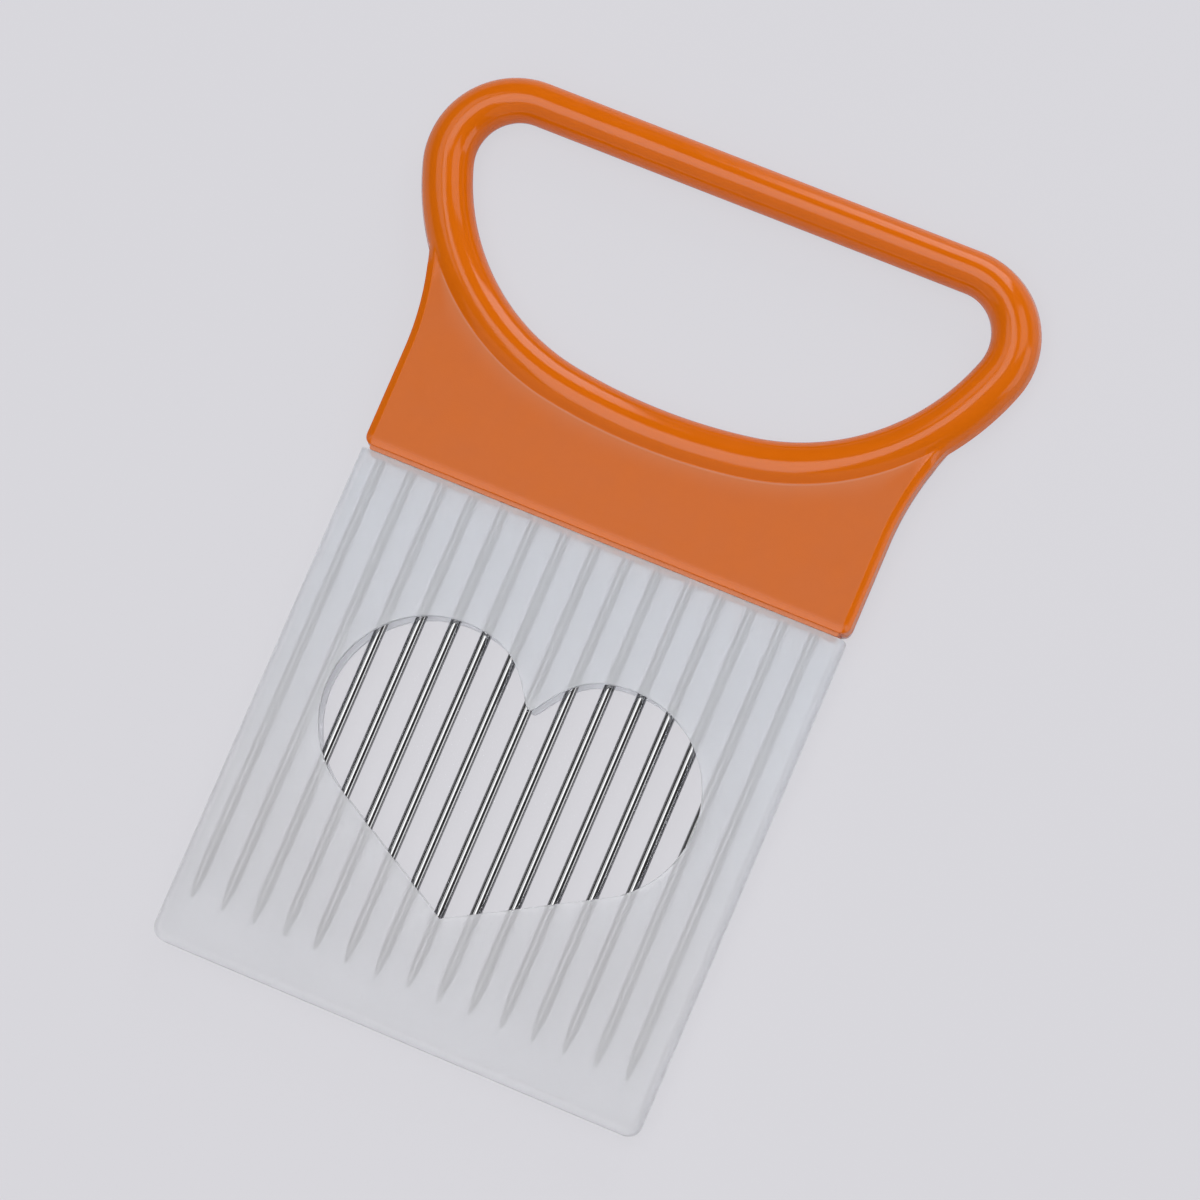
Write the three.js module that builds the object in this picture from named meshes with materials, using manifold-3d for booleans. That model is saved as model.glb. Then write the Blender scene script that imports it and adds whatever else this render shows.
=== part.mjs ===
// Slicing guide: a moulded loop handle carrying a comb of steel needles, with a slip-on sheath.
// The needles are pushed through an onion or a tomato and guide the knife between them.
// Millimetres, +Z up. The guide lies on its back, as it does on a worktop. It is drawn with y running
// from the needles' tips to the handle, counted from the plate's shoulder, and z from its middle plane.
import * as THREE from 'three';
import { mergeVertices } from 'three/addons/utils/BufferGeometryUtils.js';
import Module from 'manifold-3d';

// Needles
const needleCount = 15;
const needlePitch = 5.5;
const rowShift = -0.8; // of the whole row from the handle's middle
const needleDiameter = 1.8;
const needleReach = 79.2; // from the plate's shoulder to the tips
const needleRoot = 13; // moulded into the plate
const needlePoint = 5.5; // length of the taper
const needleTip = 0.3; // diameter of the blunted tip
const needleChamfer = 0.25; // at the root end

// Sheath
const sheathWall = 1.1;
const sheathEndWall = 1.5;
const sheathCorner = 2.4; // lower corners, seen from the front
const sheathEdge = 0.9; // rounding along the outer edges
const needleRoom = 0.9; // from a needle to the front and back walls
const sideRoom = 2.35; // from the outer needles to the side walls, for a row in the middle
const tipRoom = 6.8; // from the tips to the cavity's floor
const lipGap = 0.75; // between the sheath's lip and the plate's shoulder, where the tongue shows

// Heart window through both walls of the sheath
const heartWidth = 64.8;
const heartHeight = 45.9; // from the lobes' tops to the lower point
const heartTop = 20.45; // from the lip down to the lobes' tops
const heartLobe = 17.4; // radius of the lobes
const heartNotch = 9.9; // from the lobes' tops down to the notch, before it is rounded
const notchHalf = 0.9; // half the width over which the notch is rounded
const notchRise = 1.3; // height over which the notch is rounded
const lobePull = 8.7; // level curve handle at a lobe's top
const notchPullX = 2.9; // curve handle at the notch, sideways
const notchPullY = 4.35; // curve handle at the notch, upwards

// Plate and tongue of the handle
const plateOverhang = 0.25; // past the sheath on each side
const plateProud = 0.1; // past the sheath in front and behind
const plateCorner = 1.7;
const plateEdge = 1.0; // bevel round the plate
const flankRadius = 50; // hollow curve from the plate's sides up to the loop
const tongueLength = 1.6; // reach into the sheath's mouth
const tongueCorner = 0.8;
const tongueFit = 0.2; // clearance to the mouth on each side
const boreFit = 0.1; // clearance round a needle's root
const boreEndGap = 0.3; // past the end of the root

// Loop of the handle, along the middle of its round bar
const loopFlare = 6.6; // past the plate's sides
const loopFloor = 19.3; // from the shoulder to the bottom of the loop
const loopHeight = 44.2;
const loopFloorRadius = 100;
const loopFloorSpan = 32.8; // width of the loop's gently curved floor
const loopCorner = 11.3;
const loopBar = 8.6; // thickness of the bar, seen from the front
const loopDepth = 8.6; // thickness of the bar, front to back
const gripBar = 7.45; // the bar is slimmer along the top

// Facets
const needleSides = 16;
const loopSides = 32;
const cornerSteps = 14;
const sideSteps = 14;
const floorSteps = 4;
const curveSteps = 10;
const edgeSteps = 2;

const overlap = 1; // what joined solids share, and what cutters run past a face
const weldDistance = 1e-5; // points this near to each other are one

// Sizes that follow
const rowWidth = (needleCount - 1) * needlePitch;
const cavityWidth = rowWidth + needleDiameter + 2 * sideRoom;
const cavityDepth = needleDiameter + 2 * needleRoom;
const sheathWidth = cavityWidth + 2 * sheathWall;
const sheathDepth = cavityDepth + 2 * sheathWall;
const cavityFloor = -(needleReach + tipRoom);
const sheathFloor = cavityFloor - sheathEndWall;
const plateHalf = sheathWidth / 2 + plateOverhang;
const plateDepth = sheathDepth + 2 * plateProud;
const lobeX = heartWidth / 2 - heartLobe;
const heartTopY = -(lipGap + heartTop);
const loopTop = loopFloor + loopHeight;

// The loop is a straight grip, two corner arcs, two side arcs and a floor arc, each touching the next.
// The side arc's radius follows from the floor arc's end and the corner arc that it has to touch.
const cornerX = plateHalf + loopFlare - loopCorner;
const cornerY = loopTop - loopCorner;
const floorY = loopFloor + loopFloorRadius;
const floorAngle = Math.asin(loopFloorSpan / 2 / loopFloorRadius) - Math.PI / 2;
const floorCos = Math.cos(floorAngle);
const floorSin = Math.sin(floorAngle);
const sideRun = loopFloorRadius * floorCos - cornerX;
const sideDrop = floorY + loopFloorRadius * floorSin - cornerY;
const sideReach = sideRun * floorCos + sideDrop * floorSin;
const sideRadius = (sideRun ** 2 + sideDrop ** 2 - loopCorner ** 2) / (2 * (sideReach - loopCorner));
const sideX = (loopFloorRadius - sideRadius) * floorCos;
const sideY = floorY + (loopFloorRadius - sideRadius) * floorSin;
const joinAngle = Math.atan2(cornerY - sideY, cornerX - sideX);

// The plate's flanks end inside the bar, where its surface is as high as the plate's face.
const creaseOffset = (loopBar / 2) * Math.sqrt(1 - (plateDepth / loopDepth) ** 2);
const flankX = plateHalf + flankRadius;
const flankSpan = sideRadius + creaseOffset + flankRadius;
const flankY = sideY - Math.sqrt(flankSpan ** 2 - (flankX - sideX) ** 2);
const flankAngle = Math.atan2(sideY - flankY, sideX - flankX);
const seatAngle = flankAngle - Math.PI;

const wasm = await Module();
wasm.setup();

// A closed three.js geometry as a solid that can be joined and cut.
function solid(geometry) {
  const bare = geometry.clone();
  bare.deleteAttribute('normal');
  bare.deleteAttribute('uv');
  const merged = mergeVertices(bare, weldDistance);
  return new wasm.Manifold(new wasm.Mesh({
    numProp: 3,
    vertProperties: new Float32Array(merged.attributes.position.array),
    triVerts: new Uint32Array(merged.index.array),
  }));
}

// A joined or cut solid back as a three.js geometry.
function geometryOf(manifold) {
  const mesh = manifold.getMesh();
  const geometry = new THREE.BufferGeometry();
  geometry.setAttribute('position', new THREE.BufferAttribute(mesh.vertProperties, 3));
  geometry.setIndex(new THREE.BufferAttribute(mesh.triVerts, 1));
  geometry.computeVertexNormals();
  return geometry;
}

// An outline given thickness about the middle plane, with its edges eased inwards if asked.
function slab(shape, depth, edge = 0, steps = 1) {
  const geometry = new THREE.ExtrudeGeometry(shape, {
    depth: depth - 2 * edge,
    curveSegments: curveSteps,
    bevelEnabled: edge > 0,
    bevelThickness: edge,
    bevelSize: edge,
    bevelOffset: -edge,
    bevelSegments: steps,
  });
  geometry.translate(0, 0, edge - depth / 2);
  return geometry;
}

// A rectangle between two heights whose lower corners are rounded.
function pocketShape(width, low, high, corner) {
  const half = width / 2;
  const shape = new THREE.Shape();
  shape.moveTo(-half, high);
  shape.lineTo(-half, low + corner);
  shape.absarc(-half + corner, low + corner, corner, Math.PI, 1.5 * Math.PI, false);
  shape.lineTo(half - corner, low);
  shape.absarc(half - corner, low + corner, corner, -Math.PI / 2, 0, false);
  shape.lineTo(half, high);
  shape.closePath();
  return shape;
}

// Stations along an arc of the loop: a point, its outward direction and half the bar's thickness there.
function arcStations(x, y, radius, from, to, steps, startHalf, endHalf) {
  const stations = [];
  for (let i = 0; i <= steps; i += 1) {
    const share = i / steps;
    const angle = from + (to - from) * share;
    stations.push({
      x: x + radius * Math.cos(angle),
      y: y + radius * Math.sin(angle),
      outX: Math.cos(angle),
      outY: Math.sin(angle),
      half: startHalf + (endHalf - startHalf) * THREE.MathUtils.smoothstep(share, 0, 1),
    });
  }
  return stations;
}

// The loop's round bar, swept once round and closed on itself.
function loopGeometry() {
  const thick = loopBar / 2;
  const slim = gripBar / 2;
  const low = -Math.PI / 2;
  const right = [
    ...arcStations(0, floorY, loopFloorRadius, low, floorAngle, floorSteps, thick, thick),
    ...arcStations(sideX, sideY, sideRadius, floorAngle, joinAngle, sideSteps, thick, thick).slice(1),
    ...arcStations(cornerX, cornerY, loopCorner, joinAngle, -low, cornerSteps, thick, slim).slice(1),
  ];
  const left = right.slice(1).map((s) => ({ ...s, x: -s.x, outX: -s.outX })).reverse();
  const stations = [...right, ...left];
  const positions = [];
  const indices = [];
  stations.forEach((station, i) => {
    const next = ((i + 1) % stations.length) * loopSides;
    for (let k = 0; k < loopSides; k += 1) {
      const turn = (2 * Math.PI * k) / loopSides;
      const out = station.half * Math.cos(turn);
      positions.push(station.x + out * station.outX, station.y + out * station.outY);
      positions.push((loopDepth / 2) * Math.sin(turn));
      const a = i * loopSides + k;
      const b = i * loopSides + ((k + 1) % loopSides);
      const c = next + ((k + 1) % loopSides);
      const d = next + k;
      indices.push(a, d, c, a, c, b);
    }
  });
  const geometry = new THREE.BufferGeometry();
  geometry.setAttribute('position', new THREE.Float32BufferAttribute(positions, 3));
  geometry.setIndex(indices);
  return geometry;
}

// The plate runs from its shoulder up into the middle of the loop's bar.
function plateShape() {
  const shape = new THREE.Shape();
  const quarter = Math.PI / 2;
  shape.moveTo(-plateHalf + plateCorner, 0);
  shape.lineTo(plateHalf - plateCorner, 0);
  shape.absarc(plateHalf - plateCorner, plateCorner, plateCorner, -quarter, 0, false);
  shape.lineTo(plateHalf, flankY);
  shape.absarc(flankX, flankY, flankRadius, Math.PI, flankAngle, true);
  shape.absarc(sideX, sideY, sideRadius, seatAngle, floorAngle, true);
  shape.absarc(0, floorY, loopFloorRadius, floorAngle, -Math.PI - floorAngle, true);
  shape.absarc(-sideX, sideY, sideRadius, -Math.PI - floorAngle, -Math.PI - seatAngle, true);
  shape.absarc(-flankX, flankY, flankRadius, Math.PI - flankAngle, 0, true);
  shape.lineTo(-plateHalf, plateCorner);
  shape.absarc(-plateHalf + plateCorner, plateCorner, plateCorner, Math.PI, 3 * quarter, false);
  return shape;
}

// Heart: straight lower sides that touch round lobes, and a rounded notch between the lobes.
function heartShape() {
  const lobeY = heartTopY - heartLobe;
  const pointY = heartTopY - heartHeight;
  const reach = Math.hypot(lobeX, lobeY - pointY);
  const lean = Math.atan2(lobeY - pointY, lobeX) - Math.asin(heartLobe / reach);
  const touch = lean - Math.PI / 2;
  const notchY = heartTopY - heartNotch;
  const brinkY = notchY + notchRise;
  const pullX = notchHalf + notchPullX;
  const pullY = brinkY + notchPullY;
  const shape = new THREE.Shape();
  shape.absarc(lobeX, lobeY, heartLobe, touch, Math.PI / 2, false);
  shape.bezierCurveTo(lobeX - lobePull, heartTopY, pullX, pullY, notchHalf, brinkY);
  shape.quadraticCurveTo(0, notchY, -notchHalf, brinkY);
  shape.bezierCurveTo(-pullX, pullY, lobePull - lobeX, heartTopY, -lobeX, heartTopY);
  shape.absarc(-lobeX, lobeY, heartLobe, Math.PI / 2, Math.PI - touch, false);
  shape.lineTo(0, pointY);
  shape.closePath();
  return shape;
}

const needleX = (i) => rowShift + (i - (needleCount - 1) / 2) * needlePitch;

// Handle: loop, plate and tongue are one moulding round the needles' roots.
function handleGeometry() {
  const tongueWidth = cavityWidth - 2 * tongueFit;
  const tongueDepth = cavityDepth - 2 * tongueFit;
  const tongue = slab(pocketShape(tongueWidth, -tongueLength, overlap, tongueCorner), tongueDepth);
  let body = solid(loopGeometry()).add(solid(slab(plateShape(), plateDepth, plateEdge)));
  body = body.add(solid(tongue));
  const boreTop = needleRoot + boreEndGap;
  const boreLow = -tongueLength - overlap;
  const boreRadius = needleDiameter / 2 + boreFit;
  const bore = new THREE.CylinderGeometry(boreRadius, boreRadius, boreTop - boreLow, needleSides);
  bore.translate(0, (boreTop + boreLow) / 2, 0);
  for (let i = 0; i < needleCount; i += 1) {
    body = body.subtract(solid(bore.clone().translate(needleX(i), 0, 0)));
  }
  return geometryOf(body);
}

// Needle: a straight wire with a long taper to a blunted tip.
function needleGeometry() {
  const radius = needleDiameter / 2;
  const profile = [
    new THREE.Vector2(0, -needleReach),
    new THREE.Vector2(needleTip / 2, -needleReach),
    new THREE.Vector2(radius, -needleReach + needlePoint),
    new THREE.Vector2(radius, needleRoot - needleChamfer),
    new THREE.Vector2(radius - needleChamfer, needleRoot),
    new THREE.Vector2(0, needleRoot),
  ];
  return geometryOf(solid(new THREE.LatheGeometry(profile, needleSides)));
}

// Sheath: a flat case open along its top, cut through by the heart window.
function sheathGeometry() {
  const outer = pocketShape(sheathWidth, sheathFloor, sheathEdge + overlap, sheathCorner);
  const innerCorner = Math.max(sheathCorner - sheathWall, sheathWall / 2);
  const inner = pocketShape(cavityWidth, cavityFloor, sheathEdge + 2 * overlap, innerCorner);
  const lidHeight = sheathEdge + 2 * overlap + lipGap;
  const lid = new THREE.BoxGeometry(sheathWidth + overlap, lidHeight, sheathDepth + overlap);
  lid.translate(0, lidHeight / 2 - lipGap, 0);
  const body = solid(slab(outer, sheathDepth, sheathEdge, edgeSteps))
    .subtract(solid(slab(inner, cavityDepth)))
    .subtract(solid(slab(heartShape(), sheathDepth + 2 * overlap)))
    .subtract(solid(lid));
  return geometryOf(body);
}

function piece(name, geometry, look) {
  const mesh = new THREE.Mesh(geometry, new THREE.MeshStandardMaterial(look));
  mesh.name = name;
  return mesh;
}

const guide = new THREE.Group();
guide.name = 'slicing_guide';

guide.add(piece('handle', handleGeometry(), { color: 0xd2641e, roughness: 0.28, metalness: 0 }));

const wire = needleGeometry();
for (let i = 0; i < needleCount; i += 1) {
  const name = `needle_${String(i + 1).padStart(2, '0')}`;
  const needle = piece(name, wire, { color: 0xc4c6c8, roughness: 0.18, metalness: 1 });
  needle.position.x = needleX(i);
  guide.add(needle);
}

guide.add(piece('sheath', sheathGeometry(), {
  color: 0xdfe2e8,
  roughness: 0.45,
  metalness: 0,
  transparent: true,
  opacity: 0.5,
}));

// Laid with the bar's underside on the worktop and the guide's middle above the origin.
const middleY = (loopTop + gripBar / 2 + sheathFloor) / 2;
guide.position.set(0, -middleY, loopDepth / 2);

export default guide;
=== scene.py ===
import math
import bmesh
import bpy
from mathutils import Matrix, Vector


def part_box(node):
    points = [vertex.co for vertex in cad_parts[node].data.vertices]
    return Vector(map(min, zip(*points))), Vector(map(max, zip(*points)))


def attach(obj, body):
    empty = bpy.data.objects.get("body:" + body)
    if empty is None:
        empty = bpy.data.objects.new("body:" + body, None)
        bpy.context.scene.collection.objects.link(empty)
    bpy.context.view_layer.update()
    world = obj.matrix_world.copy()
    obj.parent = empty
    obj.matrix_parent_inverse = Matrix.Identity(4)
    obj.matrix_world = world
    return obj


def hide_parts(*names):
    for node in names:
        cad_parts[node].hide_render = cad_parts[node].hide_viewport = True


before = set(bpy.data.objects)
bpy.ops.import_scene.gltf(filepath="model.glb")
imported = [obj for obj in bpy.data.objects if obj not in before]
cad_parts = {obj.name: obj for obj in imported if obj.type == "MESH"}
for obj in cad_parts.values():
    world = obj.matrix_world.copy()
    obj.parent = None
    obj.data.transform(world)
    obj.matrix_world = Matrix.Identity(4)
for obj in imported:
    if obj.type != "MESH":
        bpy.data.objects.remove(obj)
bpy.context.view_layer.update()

# Handle: one injection moulding in orange plastic. A polished round bar bent into a D makes the finger
# loop, and it runs down into a flat plate with bevelled edges and a finely textured face.
# A short tongue under the plate plugs the sheath's mouth, and the needles are moulded into both.
MM = 0.001
tongue_reach = 1.6
handle_low, handle_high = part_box("handle")
shoulder_y = handle_low.y / MM + tongue_reach
middle_z = (handle_low.z + handle_high.z) / 2 / MM


def placed(x, y, z):
    """A point in drawn millimetres, y counted from the plate's shoulder and z from the middle plane."""
    return Vector((x, y + shoulder_y, z + middle_z)) * MM


def steps(start, end, count):
    """Evenly spaced values from start towards end, the last one left to the next run."""
    return [start + (end - start) * i / count for i in range(count)]


def aim(turn):
    """The direction at that angle, anticlockwise from the x axis."""
    return Vector((math.cos(turn), math.sin(turn)))


def eased(points, reach, count):
    """A bent line with each inner corner rounded off over that reach, in that many steps."""
    line = [Vector(points[0])]
    for before, corner, after in zip(points, points[1:], points[2:]):
        corner = Vector(corner)
        start = corner + (Vector(before) - corner).normalized() * reach
        end = corner + (Vector(after) - corner).normalized() * reach
        for i in range(count + 1):
            share = i / count
            line.append(start.lerp(corner, share).lerp(corner.lerp(end, share), share))
    line.append(Vector(points[-1]))
    return line


# Middle line of the bar: a gently curved floor, two side arcs, two corner arcs and a straight grip
plate_half = 43.1
loop_overhang = 6.6
loop_floor = 19.3
loop_top = 63.5
floor_radius = 100.0
floor_span = 32.8
corner_radius = 11.3
corner_x = plate_half + loop_overhang - corner_radius
corner_y = loop_top - corner_radius
corner_middle = Vector((corner_x, corner_y))
floor_y = loop_floor + floor_radius
floor_middle = Vector((0, floor_y))
floor_turn = math.asin(floor_span / 2 / floor_radius) - math.pi / 2
corner_gap = floor_radius * aim(floor_turn) + Vector((-corner_x, floor_y - corner_y))
side_radius = (corner_gap.length_squared - corner_radius ** 2) / 2
side_radius /= corner_gap.dot(aim(floor_turn)) - corner_radius
side_middle = floor_middle + (floor_radius - side_radius) * aim(floor_turn)
join = corner_middle - side_middle
join_turn = math.atan2(join.y, join.x)

# Bar: round, slimmer along the grip, with the mould's parting line as a low ridge inside and outside
bar_half = 4.3
grip_half = 3.725
parting_ridge = 0.05
parting_room = 0.06
parting_foot = 0.12
parting_sine = 0.01

# Plate's edge: the face rolls off to a bevel, and the side wall below it leans in a little as drafted
face_z = 3.0
bevel = 1.35
bevel_drop = 0.85
bevel_easing = 0.06
bevel_steps = 3
draft_share = 0.12
wall_foot = 0.25
edge_roll = 0.25
edge_dip = 0.02
shoulder_bevel = 0.1
shoulder_roll = 1.5
shoulder_dip = 0.14
roll_steps = 4
flank_rim = (bevel, bevel_drop, edge_roll, edge_dip)
shoulder_rim = (shoulder_bevel, shoulder_bevel, shoulder_roll, shoulder_dip)
edge_z = face_z - bevel_drop
bevel_slope = bevel_drop / bevel
wall_lean = draft_share * bevel / (edge_z + draft_share * bevel_drop - wall_foot)


def rim_line(width, drop, roll, dip):
    """Inset and height of the plate's edge, from its face down to the parting line."""
    brow = [Vector((width + roll * (1 - t), face_z - dip * t * t)) for t in steps(0, 1, roll_steps)]
    bevel_z = face_z - dip
    knee = (draft_share * width, bevel_z - (1 - draft_share) * drop)
    corners = [brow[-1], (width, bevel_z), knee, (0, wall_foot)]
    line = brow[:-1] + eased(corners, min(bevel_easing, width / 2), bevel_steps)
    return line + [Vector((0, parting_foot)), Vector((-parting_ridge, 0))]


# Crease where the plate's face meets the bar in a small fillet, and the rows of points over the face.
# Each row lies at a share of the way from the crease to the edge, but no further out than its limit.
crease_fillet = 0.2
bar_steps = 26
crease_steps = 8
face_rows = ((0.25, 0.05), (1.0, 0.15), (2.2, 0.28), (4.0, 0.42), (math.inf, 0.65), (math.inf, 0.85))
least_face = 0.1
least_rise = 1e-6
rim = rim_line(*flank_rim)
crease_start = math.asin(face_z / (bar_half - crease_fillet))
crease_end = math.asin(face_z / (bar_half + crease_fillet))
bar_turns = steps(math.pi, crease_start, bar_steps)
crease_turns = steps(crease_start, crease_end, crease_steps) + [crease_end]
face_start = face_z / math.tan(crease_end)
least_reach = face_start + rim[0].x + least_face
seat_line = [Vector((face_start + least_face * share, face_z)) for _, share in face_rows]
seat_line += [Vector((least_reach - inset, z)) for inset, z in rim]
seat_turns = [math.atan2(p.y, p.x) for p in seat_line]


def soft_max(a, b, blend):
    """The larger of two values, rounded off where they are nearly alike."""
    near = max(blend - abs(a - b), 0) / blend
    return max(a, b) + near * near * blend / 4


def nearest_on_bar(point):
    """Middle of the bar beside a point of the plate's right half, and the direction out to it."""
    out = (point - floor_middle).normalized()
    if math.atan2(out.y, out.x) <= floor_turn:
        return floor_middle + floor_radius * out, out
    out = (point - side_middle).normalized()
    return side_middle + side_radius * out, out


def ridge(turn):
    """Height of the parting line, which stands up only at the inner and outer middle of the bar."""
    return parting_ridge if abs(math.sin(turn)) < parting_sine else 0.0


def bar_column(centre, out, half):
    """Front half of the bar's section, from its inner to its outer side."""
    column = []
    for turn in bar_turns + crease_turns + seat_turns:
        across = (half - parting_room + ridge(turn)) * math.cos(turn)
        column.append((centre + across * out, bar_half * math.sin(turn)))
    return column


def plate_column(edge, normal):
    """Front half of a section through the bar and on over the plate to a point of its outline."""
    centre, out = nearest_on_bar(edge)
    reach = (edge - centre).length
    column = bar_column(centre, out, bar_half)
    if reach < least_reach:
        for i, turn in enumerate(crease_turns + seat_turns, len(bar_turns)):
            across = math.cos(turn)
            rise = max(math.sin(turn), least_rise)
            to_wall = (reach + wall_foot * wall_lean) / (across + wall_lean * rise)
            to_bevel = (reach * bevel_slope + edge_z) / (across * bevel_slope + rise)
            plate = min(face_z / rise, to_wall, to_bevel)
            radius = soft_max(bar_half, plate, crease_fillet) - parting_room + ridge(turn)
            column[i] = (centre + radius * across * out, radius * rise)
        return column
    column = column[:len(bar_turns)]
    for turn in crease_turns:
        radius = soft_max(bar_half, face_z / math.sin(turn), crease_fillet)
        column.append((centre + radius * math.cos(turn) * out, radius * math.sin(turn)))
    start = column[-1][0]
    shoulder = min(max(-normal.y, 0), 1) ** 2
    edge_line = rim_line(*(a + (b - a) * shoulder for a, b in zip(flank_rim, shoulder_rim)))
    over = edge - edge_line[0].x * normal - start
    for limit, share in face_rows:
        column.append((start + min(share, limit / over.length) * over, face_z))
    column += [(edge - inset * normal, z) for inset, z in edge_line]
    return column


# Outline of the plate's right half from the shoulder's middle up to the bar, with its outward direction
plate_corner = 1.7
flank_radius = 50.0
shoulder_steps = 28
plate_corner_steps = 10
wall_steps = 12
flank_steps = 48
flank_x = plate_half + flank_radius
crease_offset = math.sqrt(bar_half ** 2 - face_z ** 2)
flank_span = side_radius + crease_offset + flank_radius
flank_y = side_middle.y - math.sqrt(flank_span ** 2 - (flank_x - side_middle.x) ** 2)
flank_middle = Vector((flank_x, flank_y))
seat = side_middle - flank_middle
flank_turn = math.atan2(seat.y, seat.x)
plate_corner_middle = Vector((plate_half - plate_corner, plate_corner))
outline = []
for x in steps(0, plate_half - plate_corner, shoulder_steps):
    outline.append((Vector((x, 0)), Vector((0, -1))))
for turn in steps(-math.pi / 2, 0, plate_corner_steps):
    outline.append((plate_corner_middle + plate_corner * aim(turn), aim(turn)))
for y in steps(plate_corner, flank_y, wall_steps):
    outline.append((Vector((plate_half, y)), Vector((1, 0))))
for turn in steps(math.pi, flank_turn, flank_steps):
    outline.append((flank_middle + flank_radius * aim(turn), -aim(turn)))

# Sections one after another along the right half, over the plate and on round the bar, then mirrored.
# Each has its share of the face's texture, which fades out where the plate narrows, and its place along.
texture_fade = 2.0
side_steps = 6
corner_steps = 26
grip_steps = 12
columns = []
texture_shares = []
for edge, normal in outline:
    columns.append(plate_column(edge, normal))
    reach = (edge - nearest_on_bar(edge)[0]).length
    texture_shares.append(min(max((reach - least_reach) / texture_fade, 0), 1))
for turn in steps(flank_turn - math.pi, join_turn, side_steps):
    columns.append(bar_column(side_middle + side_radius * aim(turn), aim(turn), bar_half))
for i, turn in enumerate(steps(join_turn, math.pi / 2, corner_steps)):
    share = i / corner_steps
    slimming = share * share * (3 - 2 * share)
    half = bar_half + (grip_half - bar_half) * slimming
    columns.append(bar_column(corner_middle + corner_radius * aim(turn), aim(turn), half))
for x in steps(corner_x, 0, grip_steps) + [0]:
    columns.append(bar_column(Vector((x, loop_top)), Vector((0, 1)), grip_half))
texture_shares += [0.0] * (len(columns) - len(texture_shares))
lengths = [0.0]
for before, after in zip(columns, columns[1:]):
    lengths.append(lengths[-1] + (after[0][0] - before[0][0]).length)
columns += [[(Vector((-p.x, p.y)), z) for p, z in column] for column in columns[-2:0:-1]]
texture_shares += texture_shares[-2:0:-1]
lengths += lengths[-2:0:-1]


def faced(mesh, grid, closed_rows=True, closed_columns=True):
    """Faces between the neighbours in rows of vertices of equal length."""
    strips = len(grid) if closed_rows else len(grid) - 1
    faces = len(grid[0]) if closed_columns else len(grid[0]) - 1
    for i in range(strips):
        here = grid[i]
        there = grid[(i + 1) % len(grid)]
        for k in range(faces):
            after = (k + 1) % len(here)
            mesh.faces.new((here[k], there[k], there[after], here[after]))


def grid_mesh(mesh, rows, closed_rows=True, closed_columns=True):
    """Points in rows of equal length made into vertices, which it returns, with faces between them."""
    grid = [[mesh.verts.new(point) for point in row] for row in rows]
    faced(mesh, grid, closed_rows, closed_columns)
    return grid


def finished(mesh, name):
    """A mesh turned outwards, shaded smooth and put into the scene."""
    bmesh.ops.recalc_face_normals(mesh, faces=mesh.faces)
    for face in mesh.faces:
        face.smooth = True
    data = bpy.data.meshes.new(name)
    mesh.to_mesh(data)
    mesh.free()
    piece = bpy.data.objects.new(name, data)
    bpy.context.scene.collection.objects.link(piece)
    return piece


# Loop and plate: the sections joined into one skin. The face is textured up to the rolled edge, and a
# pale painted sheen lies along the crease. A row's vertex k and its vertex -k are alike in front and
# behind.
# Rows by the crease at full level, then falling levels over the face, of a paler colour painted on as a
# painted sheen
sheen_crease_rows = 3
crease_sheen_share = (0.6, 0.48, 0.28)
roll_texture = (1.0, 0.7, 0.35, 0.1)
girth_step = 0.4
mesh = bmesh.new()
texture = mesh.verts.layers.float.new("textured_face")
sheen_layer = mesh.verts.layers.float.new("crease_sheen_share")
bar_length = mesh.verts.layers.float.new("along_bar")
bar_girth = mesh.verts.layers.float.new("round_bar")
rows = []
for column in columns:
    front = [placed(p.x, p.y, z) for p, z in column]
    behind = [placed(p.x, p.y, -z) for p, z in column[-2:0:-1]]
    rows.append(front + behind)
grid = grid_mesh(mesh, rows)
first_sheen_row = len(bar_turns) + len(crease_turns) - sheen_crease_rows
texture_levels = [1.0] * (sheen_crease_rows + len(face_rows)) + list(roll_texture)
sheen_levels = [1.0] * sheen_crease_rows + list(crease_sheen_share)
for row, share, length in zip(grid, texture_shares, lengths):
    for k, vertex in enumerate(row):
        vertex[bar_length] = length * MM
        vertex[bar_girth] = min(k, len(row) - k) * girth_step * MM
    for layer, levels in ((texture, texture_levels), (sheen_layer, sheen_levels)):
        for k, level in enumerate(levels, first_sheen_row):
            row[k][layer] = row[-k][layer] = level * share


def u_outline(half, floor, corner, top, side_steps, corner_steps):
    """Left side, floor and right side of a flat tab or case with round corners, and the way outwards."""
    heights = steps(top, floor + corner, side_steps)
    line = [(Vector((-half, y)), Vector((-1, 0))) for y in heights]
    for side, start in ((-1, math.pi), (1, 1.5 * math.pi)):
        middle = Vector((side * (half - corner), floor + corner))
        end = start + math.pi / 2
        for turn in steps(start, end, corner_steps) + [end]:
            line.append((middle + corner * aim(turn), aim(turn)))
    line += [(Vector((half, y)), Vector((1, 0))) for y in heights[::-1]]
    return line


def edge_section(thick, flat, easing, count):
    """Inset and height round the eased edge of a flat piece, from its front to its back."""
    return eased([(flat, thick), (0, thick), (0, -thick), (flat, -thick)], easing, count)


def swept(line, section):
    """Rows of points where a section of insets and heights is carried along an outline."""
    return [[placed(*(point - inset * normal), z) for inset, z in section] for point, normal in line]


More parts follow.
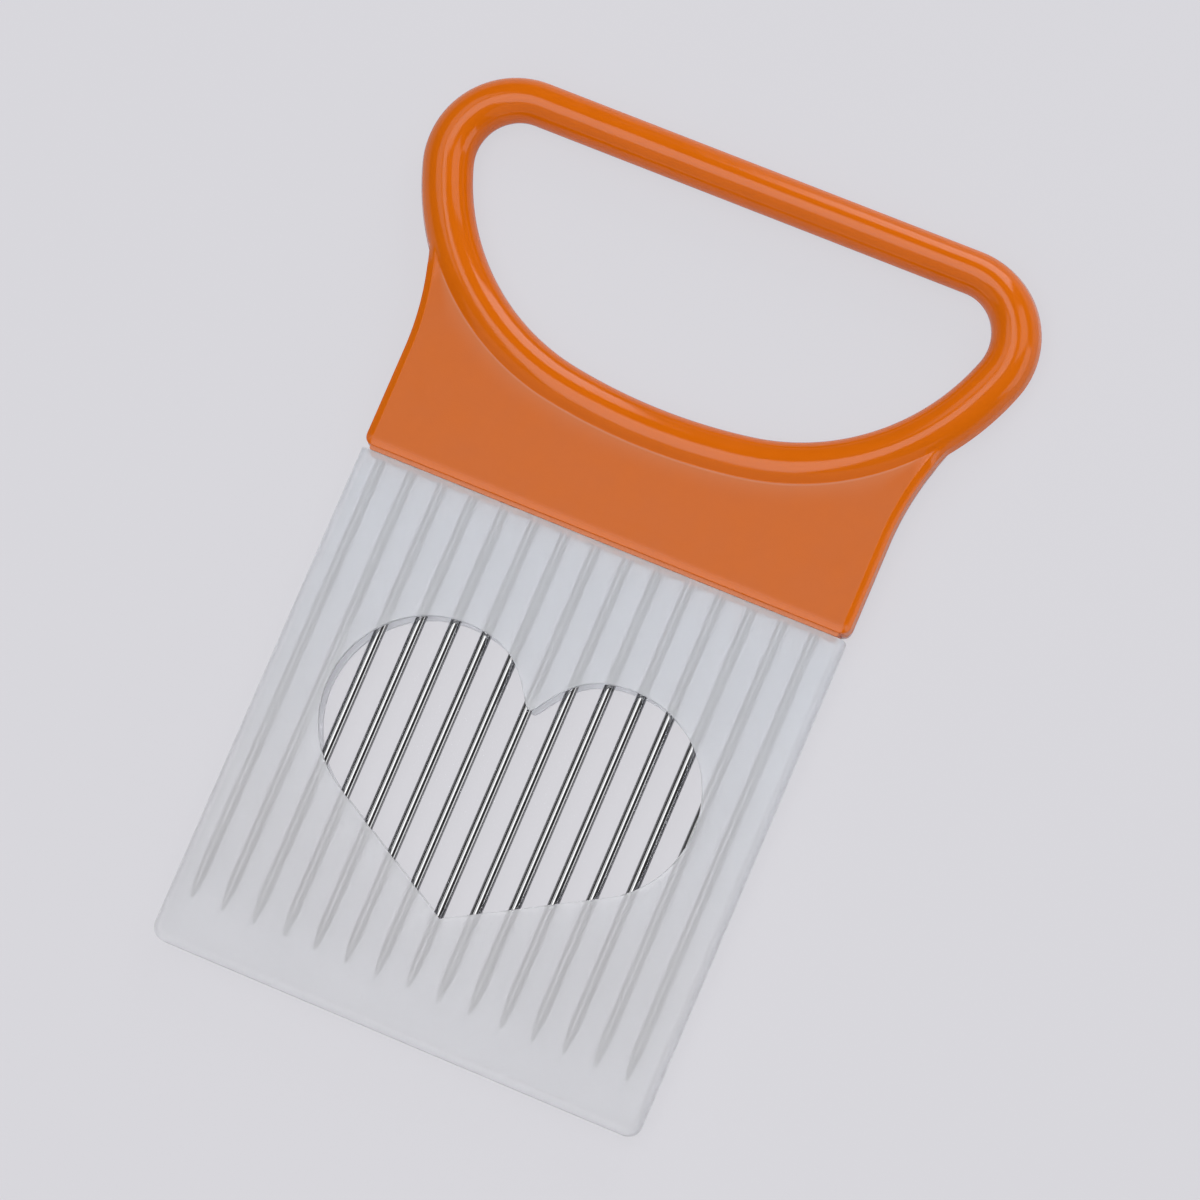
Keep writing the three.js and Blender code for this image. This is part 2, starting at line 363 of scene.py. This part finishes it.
# Tongue and its thicker neck beside the shoulder: flat tabs with round corners, rooted in the plate
tongue_half = 41.55
tongue_z = 1.6
tongue_corner = 0.8
tongue_easing = 0.3
tongue_sheen = 0.0
neck_z = 2.7
neck_reach = 0.72
neck_corner = 0.4
neck_easing = 0.15
# The neck's level of the painted sheen: a paler colour painted on the strip as a painted highlight
neck_sheen = 0.9
root_reach = 1.0
tab_flat = 0.35
tab_side_steps = 1
tab_edge_steps = 6
tab_corner_steps = 8
tongue_tab = (tongue_z, tongue_reach, tongue_corner, tongue_easing, tongue_sheen)
neck_tab = (neck_z, neck_reach, neck_corner, neck_easing, neck_sheen)
# Each tab gets its share of the textured face and of the painted sheen
for thick, reach, corner, easing, face_and_sheen in (tongue_tab, neck_tab):
    tab_edge = edge_section(thick, tab_flat, easing, tab_edge_steps)
    tab_line = u_outline(tongue_half, -reach, corner, root_reach, tab_side_steps, tab_corner_steps)
    grid = grid_mesh(mesh, swept(tab_line, tab_edge), closed_rows=False, closed_columns=False)
    for row in grid:
        for vertex in row:
            vertex[texture] = vertex[sheen_layer] = face_and_sheen
    mesh.faces.new([row[0] for row in grid])
    mesh.faces.new([row[-1] for row in grid])
    mesh.faces.new(grid[0] + grid[-1][::-1])
handle = finished(mesh, "loop_handle")


def put(tree, kind, inputs=None, **settings):
    """A node with its settings, each input either joined to a socket or given a value."""
    node = tree.nodes.new(kind)
    for name, value in settings.items():
        setattr(node, name, value)
    for name, value in (inputs or {}).items():
        if isinstance(value, bpy.types.NodeSocket):
            tree.links.new(value, node.inputs[name])
        else:
            node.inputs[name].default_value = value
    return node


def reckoned(tree, operation, *values):
    """A value worked out from others by that operation."""
    return put(tree, "ShaderNodeMath", dict(enumerate(values)), operation=operation).outputs["Value"]


# Places of the colours among the Mix node's sockets, whose names stand there for other kinds too
first_colour = 6
second_colour = 7
mixed_colour = 2


def blended(tree, share, first, second):
    """A colour that goes from the first to the second as the share goes from 0 to 1."""
    inputs = {"Factor": share, first_colour: first, second_colour: second}
    return put(tree, "ShaderNodeMix", inputs, data_type="RGBA").outputs[mixed_colour]


def new_material(name):
    """A material whose node tree is still empty."""
    material = bpy.data.materials.new(name)
    material.use_nodes = True
    material.node_tree.nodes.clear()
    return material


# Wear that all three materials share: soft cloudy patches, fine grain, and sparse hairline rubs
handled = bpy.data.node_groups.new("handled_surface", "ShaderNodeTree")
wear_inputs = {
    "Place": "NodeSocketVector", "Rub Place": "NodeSocketVector", "Patch Scale": "NodeSocketFloat",
    "Grain Scale": "NodeSocketFloat", "Rub Stretch": "NodeSocketVector"}
for name, kind in wear_inputs.items():
    handled.interface.new_socket(name, in_out="INPUT", socket_type=kind)
for name in ("Patches", "Grain", "Rubs"):
    handled.interface.new_socket(name, in_out="OUTPUT", socket_type="NodeSocketFloat")
given = put(handled, "NodeGroupInput").outputs
patches = put(handled, "ShaderNodeTexNoise", {
    "Vector": given["Place"], "Scale": given["Patch Scale"], "Detail": 3.0, "Roughness": 0.55})
grain = put(handled, "ShaderNodeTexNoise", {
    "Vector": given["Place"], "Scale": given["Grain Scale"], "Detail": 2.0, "Roughness": 0.6})
stretched = put(handled, "ShaderNodeVectorMath", {
    0: given["Rub Place"], 1: given["Rub Stretch"]}, operation="MULTIPLY")
rubs = put(handled, "ShaderNodeTexNoise", {
    "Vector": stretched.outputs["Vector"], "Scale": 1.0, "Detail": 2.0, "Roughness": 0.5})
rub_lines = put(handled, "ShaderNodeMapRange", {
    "Value": rubs.outputs["Fac"], "From Min": 0.6, "From Max": 0.74})
put(handled, "NodeGroupOutput", {
    "Patches": patches.outputs["Fac"], "Grain": grain.outputs["Fac"], "Rubs": rub_lines.outputs["Result"]})

# Orange plastic: polished on the bar, with rub marks along it, and matt and grained on the plate's face
orange = (0.7, 0.142, 0.0015, 1)
deep_orange = (0.645, 0.128, 0.001, 1)
face_orange = (0.63, 0.131, 0.004, 1)
deep_face_orange = (0.58, 0.117, 0.0035, 1)
# Pale colour painted along the crease and over the neck as a painted sheen
sheen_colour = (0.72, 0.4, 0.28, 1)
sheen_power = 2.0
sheen_share = 0.3
bar_roughness = 0.12
face_roughness = 0.42
patch_roughness = 0.14
rub_roughness = 0.06
bar_relief = 0.03
face_relief = 0.5
rub_relief = 0.05
plastic = new_material("orange_plastic")
tree = plastic.node_tree
bar_place = put(tree, "ShaderNodeCombineXYZ", {
    "X": put(tree, "ShaderNodeAttribute", attribute_name="along_bar").outputs["Fac"],
    "Y": put(tree, "ShaderNodeAttribute", attribute_name="round_bar").outputs["Fac"]})
wear = put(tree, "ShaderNodeGroup", {
    "Place": put(tree, "ShaderNodeTexCoord").outputs["Object"],
    "Rub Place": bar_place.outputs["Vector"],
    "Patch Scale": 170, "Grain Scale": 5200, "Rub Stretch": (40, 2400, 1)}, node_tree=handled).outputs
textured = put(tree, "ShaderNodeAttribute", attribute_name="textured_face").outputs["Fac"]
near_crease = put(tree, "ShaderNodeAttribute", attribute_name="crease_sheen_share").outputs["Fac"]
light_tone = blended(tree, textured, orange, face_orange)
deep_tone = blended(tree, textured, deep_orange, deep_face_orange)
clouded = blended(tree, wear["Patches"], deep_tone, light_tone)
# Painted sheen: the pale colour mixed in by the crease attribute, standing in for light caught by the
# crease
crease_sheen = reckoned(tree, "MULTIPLY", reckoned(tree, "POWER", near_crease, sheen_power), sheen_share)
polish = put(tree, "ShaderNodeMapRange", {
    "Value": textured, "To Min": bar_roughness, "To Max": face_roughness})
smeared = reckoned(tree, "MULTIPLY_ADD", wear["Patches"], patch_roughness, -patch_roughness / 2)
rubbed = reckoned(tree, "MULTIPLY_ADD", wear["Rubs"], rub_roughness, smeared)
relief = put(tree, "ShaderNodeMapRange", {
    "Value": textured, "To Min": bar_relief, "To Max": face_relief})
rub_height = reckoned(tree, "MULTIPLY", wear["Rubs"], rub_relief)
bump = put(tree, "ShaderNodeBump", {
    "Height": reckoned(tree, "MULTIPLY_ADD", wear["Grain"], relief.outputs["Result"], rub_height),
    "Strength": 0.35, "Distance": 0.00012})
shader = put(tree, "ShaderNodeBsdfPrincipled", {
    "Base Color": blended(tree, crease_sheen, clouded, sheen_colour),
    "Roughness": reckoned(tree, "ADD", polish.outputs["Result"], rubbed),
    "IOR": 1.38, "Normal": bump.outputs["Normal"]})
put(tree, "ShaderNodeOutputMaterial", {"Surface": shader.outputs["BSDF"]})
handle.data.materials.append(plastic)
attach(handle, "slicer")
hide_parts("handle")

# Needles: fifteen lengths of bright drawn stainless wire, each ground to a taper with a blunted tip.
# Their eased roots are held in the plate, which was moulded round them.
needle_count = 15
needle_pitch = 5.5
row_shift = -0.8
needle_radius = 0.9
needle_reach = 79.2
needle_root = 13.0
needle_taper = 4.4
tip_radius = 0.28
needle_easing = 0.12
needle_easing_steps = 3
needle_sides = 28
needle_line = eased([
    (0, -needle_reach), (tip_radius, -needle_reach), (needle_radius, needle_taper - needle_reach),
    (needle_radius, needle_root), (0, needle_root)], needle_easing, needle_easing_steps)

# Drawn steel: bright and a little cloudy, with faint drawing marks along the wire
bright_steel = (0.39, 0.39, 0.395, 1)
dull_steel = (0.33, 0.33, 0.335, 1)
steel_roughness = 0.065
drawn_roughness = 0.03
steel = new_material("drawn_steel")
tree = steel.node_tree
place = put(tree, "ShaderNodeTexCoord").outputs["Object"]
wear = put(tree, "ShaderNodeGroup", {
    "Place": place, "Rub Place": place,
    "Patch Scale": 240, "Grain Scale": 7000, "Rub Stretch": (1500, 40, 1500)}, node_tree=handled).outputs
bump = put(tree, "ShaderNodeBump", {"Height": wear["Rubs"], "Strength": 0.03, "Distance": 0.00001})
shader = put(tree, "ShaderNodeBsdfPrincipled", {
    "Base Color": blended(tree, wear["Patches"], dull_steel, bright_steel),
    "Roughness": reckoned(tree, "MULTIPLY_ADD", wear["Rubs"], drawn_roughness, steel_roughness),
    "Metallic": 1.0, "Normal": bump.outputs["Normal"]})
put(tree, "ShaderNodeOutputMaterial", {"Surface": shader.outputs["BSDF"]})

for i in range(needle_count):
    x = row_shift + (i - (needle_count - 1) / 2) * needle_pitch
    mesh = bmesh.new()
    rows = []
    for turn in steps(0, 2 * math.pi, needle_sides):
        spoke = aim(turn)
        rows.append([placed(x + r * spoke.x, y, r * spoke.y) for r, y in needle_line[1:-1]])
    grid = grid_mesh(mesh, rows, closed_columns=False)
    mesh.faces.new([row[0] for row in grid])
    mesh.faces.new([row[-1] for row in grid])
    needle = finished(mesh, f"steel_needle_{i + 1:02d}")
    needle.data.materials.append(steel)
    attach(needle, "slicer")
    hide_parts(f"needle_{i + 1:02d}")

# Sheath: a flat case moulded in milky see-through plastic with a frosted skin, open along the top.
# It slips over the needles up to the plate, and a heart-shaped window is cut through both broad walls.
sheath_half = 42.85
sheath_z = 2.9
sheath_floor = -87.5
sheath_corner = 2.4
sheath_edge = 1.6
sheath_flat = 2.0
cavity_half = 41.75
cavity_z = 1.8
cavity_floor = -86.0
cavity_corner = 1.3
cavity_edge = 0.25
cavity_flat = 0.6
case_edge_steps = 12
case_side_steps = 6
case_corner_steps = 10
lip_y = -0.75
lip_easing = 0.22
lip_steps = 16
window_easing = 0.18
rim_flat = 0.5
rim_steps = 4

# Heart: two straight flanks from the point, two round lobes, and a small rounded notch between them
heart_half = 32.4
heart_top = -21.2
heart_point = -67.1
lobe_radius = 17.4
lobe_pull = 8.7
brink_depth = 8.6
brink_pull_x = 2.9
brink_pull_y = 4.35
notch_half = 0.9
notch_sag = 0.65
heart_flank_steps = 12
lobe_steps = 56
lobe_curve_steps = 20
notch_steps = 8


def curve(points, count):
    """Points along a smooth curve with two pulls, the last one left to the next run."""
    a, b, c, d = (Vector(p) for p in points)
    line = []
    for t in steps(0, 1, count):
        s = 1 - t
        line.append(s ** 3 * a + 3 * s * s * t * b + 3 * s * t * t * c + t ** 3 * d)
    return line


lobe_x = heart_half - lobe_radius
lobe_y = heart_top - lobe_radius
lobe_middle = Vector((lobe_x, lobe_y))
point_gap = Vector((lobe_x, lobe_y - heart_point))
flank_slope = math.atan2(point_gap.y, point_gap.x) - math.asin(lobe_radius / point_gap.length)
touch_turn = flank_slope - math.pi / 2
touch = lobe_middle + lobe_radius * aim(touch_turn)
brink_y = heart_top - brink_depth
brink = (notch_half, brink_y)
brink_pull = (notch_half + brink_pull_x, brink_y + brink_pull_y)
notch_pull_x = notch_half / 3
notch_pull_y = brink_y - notch_sag * 4 / 3
notch_line = (brink, (notch_pull_x, notch_pull_y), (-notch_pull_x, notch_pull_y), (-notch_half, brink_y))
heart = [Vector((0, heart_point)).lerp(touch, share) for share in steps(0, 1, heart_flank_steps)]
heart += [lobe_middle + lobe_radius * aim(t) for t in steps(touch_turn, math.pi / 2, lobe_steps)]
heart += curve(((lobe_x, heart_top), (lobe_x - lobe_pull, heart_top), brink_pull, brink), lobe_curve_steps)
heart += curve(notch_line, notch_steps)[:notch_steps // 2 + 1]
heart += [Vector((-p.x, p.y)) for p in heart[-2:0:-1]]


def outward(line):
    """For each point of a closed line that runs anticlockwise, the direction away from its inside."""
    away = []
    for before, after in zip(line[-1:] + line[:-1], line[1:] + line[:1]):
        along = (after - before).normalized()
        away.append(Vector((along.y, -along.x)))
    return away


def heart_ring(offset, z):
    """The window's outline at that height, widened by that offset."""
    return [placed(*(p + offset * n), z) for p, n in zip(heart, outward(heart))]


def filled(mesh, loops):
    """A flat face bounded by an outer ring of points and by the window's ring."""
    edges = []
    for loop in loops:
        for a, b in zip(loop, loop[1:] + loop[:1]):
            edges.append(mesh.edges.get((a, b)) or mesh.edges.new((a, b)))
    bmesh.ops.triangle_fill(mesh, use_beauty=True, use_dissolve=False, edges=edges)


# Outer and inner skins: the sides and the closed end, each with its rounded edges
mesh = bmesh.new()
lip_top = lip_y - lip_easing
shell_line = u_outline(
    sheath_half, sheath_floor, sheath_corner, lip_top, case_side_steps, case_corner_steps)
cavity_line = u_outline(
    cavity_half, cavity_floor, cavity_corner, lip_top, case_side_steps, case_corner_steps)
shell_edge = edge_section(sheath_z, sheath_flat, sheath_edge, case_edge_steps)
inner_edge = edge_section(cavity_z, cavity_flat, cavity_edge, case_edge_steps)
shell = grid_mesh(mesh, swept(shell_line, shell_edge), closed_rows=False, closed_columns=False)
cavity = grid_mesh(mesh, swept(cavity_line, inner_edge), closed_rows=False, closed_columns=False)


def mouth_parts(mesh, skin, depth):
    """The left end, front, right end and back of the ring of vertices round a skin's mouth."""
    left = skin[0]
    right = skin[-1]
    span = steps(left[0].co.x / MM, right[0].co.x / MM, lip_steps)[1:]
    front = [mesh.verts.new(placed(x, lip_top, depth)) for x in span]
    back = [mesh.verts.new(placed(x, lip_top, -depth)) for x in span]
    return left[::-1], front, right, back[::-1]


# Lip round the mouth: rings that climb from the outer skin over the rounded rim and down to the cavity
lip_width = sheath_half - cavity_half
outer_parts = mouth_parts(mesh, shell, sheath_z)
inner_parts = mouth_parts(mesh, cavity, cavity_z)
outer_mouth = sum(outer_parts, [])
inner_mouth = sum(inner_parts, [])
lip_line = eased([(0, -lip_easing), (0, 0), (rim_flat, 0)], lip_easing, rim_steps)[2:-1]
climbs = [(inset / lip_width, up) for inset, up in lip_line]
climbs += [(1 - share, up) for share, up in climbs[::-1]]
rings = [outer_mouth]
for share, up in climbs:
    lift = Vector((0, (lip_easing + up) * MM, 0))
    between = [o.co.lerp(i.co, share) + lift for o, i in zip(outer_mouth, inner_mouth)]
    rings.append([mesh.verts.new(point) for point in between])
rings.append(inner_mouth)
faced(mesh, rings, closed_rows=False)

# Window: its cut edge through each broad wall, eased at both rims, and the flat walls round it
cut = eased([(rim_flat, sheath_z), (0, sheath_z), (0, cavity_z), (rim_flat, cavity_z)],
            window_easing, rim_steps)[1:-1]
front_cut = grid_mesh(mesh, [heart_ring(offset, z) for offset, z in cut], closed_rows=False)
back_cut = grid_mesh(mesh, [heart_ring(offset, -z) for offset, z in cut], closed_rows=False)
for skin, (_, front, _, back), rim_at in ((shell, outer_parts, 0), (cavity, inner_parts, -1)):
    filled(mesh, ([row[0] for row in skin] + front[::-1], front_cut[rim_at]))
    filled(mesh, ([row[-1] for row in skin] + back, back_cut[rim_at]))
sheath = finished(mesh, "frosted_sheath")

# Frosted plastic: milky and hazy, clearer close to the mouth and cooler in tint over the upper part
dim_milk = (0.887, 0.889, 0.911, 1)
bright_milk = (0.927, 0.929, 0.949, 1)
cool_milk = (0.908, 0.936, 0.98, 1)
cool_reach = 60.0
cool_share = 0.6
clear_reach = 7.0
body_frost = 0.38
mouth_frost = 0.26
patch_frost = 0.05
mouth_y = placed(0, lip_y, 0).y
cool_y = placed(0, lip_y - cool_reach, 0).y
clear_y = placed(0, lip_y - clear_reach, 0).y
frosted = new_material("frosted_plastic")
tree = frosted.node_tree
place = put(tree, "ShaderNodeTexCoord").outputs["Object"]
wear = put(tree, "ShaderNodeGroup", {
    "Place": place, "Rub Place": place,
    "Patch Scale": 60, "Grain Scale": 4200, "Rub Stretch": (900, 240, 600)}, node_tree=handled).outputs
place_y = put(tree, "ShaderNodeSeparateXYZ", {"Vector": place}).outputs["Y"]
milk = blended(tree, wear["Patches"], dim_milk, bright_milk)
cooling = put(tree, "ShaderNodeMapRange", {
    "Value": place_y, "From Min": cool_y, "From Max": mouth_y, "To Max": cool_share})
clearing = put(tree, "ShaderNodeMapRange", {
    "Value": place_y, "From Min": clear_y, "From Max": mouth_y,
    "To Min": body_frost, "To Max": mouth_frost})
bump = put(tree, "ShaderNodeBump", {"Height": wear["Grain"], "Strength": 0.1, "Distance": 0.00003})
shader = put(tree, "ShaderNodeBsdfPrincipled", {
    "Base Color": blended(tree, cooling.outputs["Result"], milk, cool_milk),
    "Roughness": reckoned(tree, "MULTIPLY_ADD", wear["Patches"], patch_frost, clearing.outputs["Result"]),
    "IOR": 1.22, "Transmission Weight": 0.67, "Normal": bump.outputs["Normal"]})
put(tree, "ShaderNodeOutputMaterial", {"Surface": shader.outputs["BSDF"]})
sheath.data.materials.append(frosted)
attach(sheath, "sheath")
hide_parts("sheath")

# Worktop and light: the guide lies on a plain pale sheet of card, under soft studio lamps.
# One hangs overhead, others stand at the back, right, left and front, and a dim one fills the shadows.
# The room is dim between them, which gives the bar and the wires their dark bands.
card_half = 20.0
card_paint = (0.7, 0.695, 0.73, 1)

# The card's own even tone, and its share in what the camera sees of it and in what bright pieces mirror
card_tone = (0.69, 0.683, 0.72, 1)
seen_level = 0.88
mirrored_level = 0.25
mesh = bmesh.new()
card_corners = ((-1, -1), (1, -1), (1, 1), (-1, 1))
mesh.faces.new([mesh.verts.new((x * card_half, y * card_half, 0)) for x, y in card_corners])
worktop = finished(mesh, "worktop")
card = new_material("pale_card")
tree = card.node_tree
paths = put(tree, "ShaderNodeLightPath").outputs
seen = reckoned(tree, "MAXIMUM", paths["Is Camera Ray"], paths["Is Transmission Ray"])
mirrored = reckoned(tree, "MULTIPLY", paths["Is Glossy Ray"], mirrored_level)
matt = put(tree, "ShaderNodeBsdfDiffuse", {"Color": card_paint})
glow = put(tree, "ShaderNodeEmission", {"Color": card_tone, "Strength": 1.0})
mixed = put(tree, "ShaderNodeMixShader", {
    0: reckoned(tree, "MULTIPLY_ADD", seen, seen_level, mirrored),
    1: matt.outputs["BSDF"], 2: glow.outputs["Emission"]})
put(tree, "ShaderNodeOutputMaterial", {"Surface": mixed.outputs["Shader"]})
worktop.data.materials.append(card)

# Room: pale close to the worktop's level and dim above, as pairs of upward slope and brightness
room_levels = ((0.0, 0.66), (0.04, 0.66), (0.12, 0.24), (0.22, 0.08), (1.0, 0.08))
brightest = max(level for _, level in room_levels)
room = bpy.data.worlds.new("studio_room")
room.use_nodes = True
tree = room.node_tree
tree.nodes.clear()
way = put(tree, "ShaderNodeTexCoord").outputs["Generated"]
climb = put(tree, "ShaderNodeSeparateXYZ", {"Vector": way}).outputs["Z"]
walls = put(tree, "ShaderNodeValToRGB", {"Fac": climb})
stops = walls.color_ramp.elements
while len(stops) < len(room_levels):
    stops.new(0.5)
for stop, (position, level) in zip(stops, room_levels):
    stop.position = position
    stop.color = (level / brightest, level / brightest, level / brightest, 1)
shine = put(tree, "ShaderNodeBackground", {"Color": walls.outputs["Color"], "Strength": brightest})
put(tree, "ShaderNodeOutputWorld", {"Surface": shine.outputs["Background"]})
bpy.context.scene.world = room


def softbox(name, lean, turn, distance, width, depth, level, facing=None):
    """A soft lamp of that brightness, so many degrees from straight up and round from the x axis."""
    lean = math.radians(lean)
    turn = math.radians(turn)
    way_out = Vector((math.sin(lean) * math.cos(turn), math.sin(lean) * math.sin(turn), math.cos(lean)))
    lamp = bpy.data.lights.new(name, "AREA")
    lamp.shape = "RECTANGLE"
    lamp.size = width
    lamp.size_y = depth
    lamp.energy = level * math.pi * width * depth
    holder = bpy.data.objects.new(name, lamp)
    holder.location = distance * way_out
    holder.rotation_euler = (facing or way_out).to_track_quat("Z", "Y").to_euler()
    bpy.context.scene.collection.objects.link(holder)
    return holder


softbox("overhead_box", lean=10.1, turn=233.5, distance=1.3, width=0.68, depth=1.1, level=2.9,
        facing=Vector((0, 0, 1)))
softbox("back_box", lean=65, turn=85, distance=0.95, width=0.45, depth=0.58, level=3.9)
softbox("right_box", lean=46, turn=43, distance=1.0, width=0.42, depth=0.56, level=1.65)
softbox("right_wall", lean=74, turn=9, distance=1.0, width=0.6, depth=0.44, level=1.8)
softbox("left_box", lean=36, turn=160, distance=1.2, width=0.7, depth=0.42, level=1.3)
softbox("front_box", lean=60, turn=270, distance=1.0, width=2.2, depth=1.1, level=0.46)
fill = softbox("room_fill", lean=20, turn=250, distance=1.6, width=2.4, depth=2.4, level=0.32)
fill.visible_glossy = False

# Camera: a long lens looking down on the guide, about twelve degrees off straight above.
# It is rolled so that the loop leans to the right.
view_turn = math.radians(9.832)
view_lean = math.radians(-6.929)
view_roll = math.radians(23.244)
view_distance = 0.9
view_target = Vector((0.0031, 0.00093, 0.0043))
sensor_width = 36
lens_length = 166.48
to_camera = Vector((math.sin(view_turn) * math.cos(view_lean), math.sin(view_lean),
                    math.cos(view_turn) * math.cos(view_lean)))
sideways = Vector((0, 1, 0)).cross(to_camera).normalized()
upwards = to_camera.cross(sideways)
view_right = math.cos(view_roll) * sideways + math.sin(view_roll) * upwards
view_up = math.cos(view_roll) * upwards - math.sin(view_roll) * sideways
camera_data = bpy.data.cameras.new("camera")
camera_data.sensor_width = sensor_width
camera_data.lens = lens_length
camera = bpy.data.objects.new("camera", camera_data)
camera_turn = Matrix((view_right, view_up, to_camera)).transposed().to_4x4()
camera.matrix_world = Matrix.Translation(view_target + view_distance * to_camera) @ camera_turn
bpy.context.scene.collection.objects.link(camera)
bpy.context.scene.camera = camera
bpy.context.scene.view_settings.view_transform = "Standard"
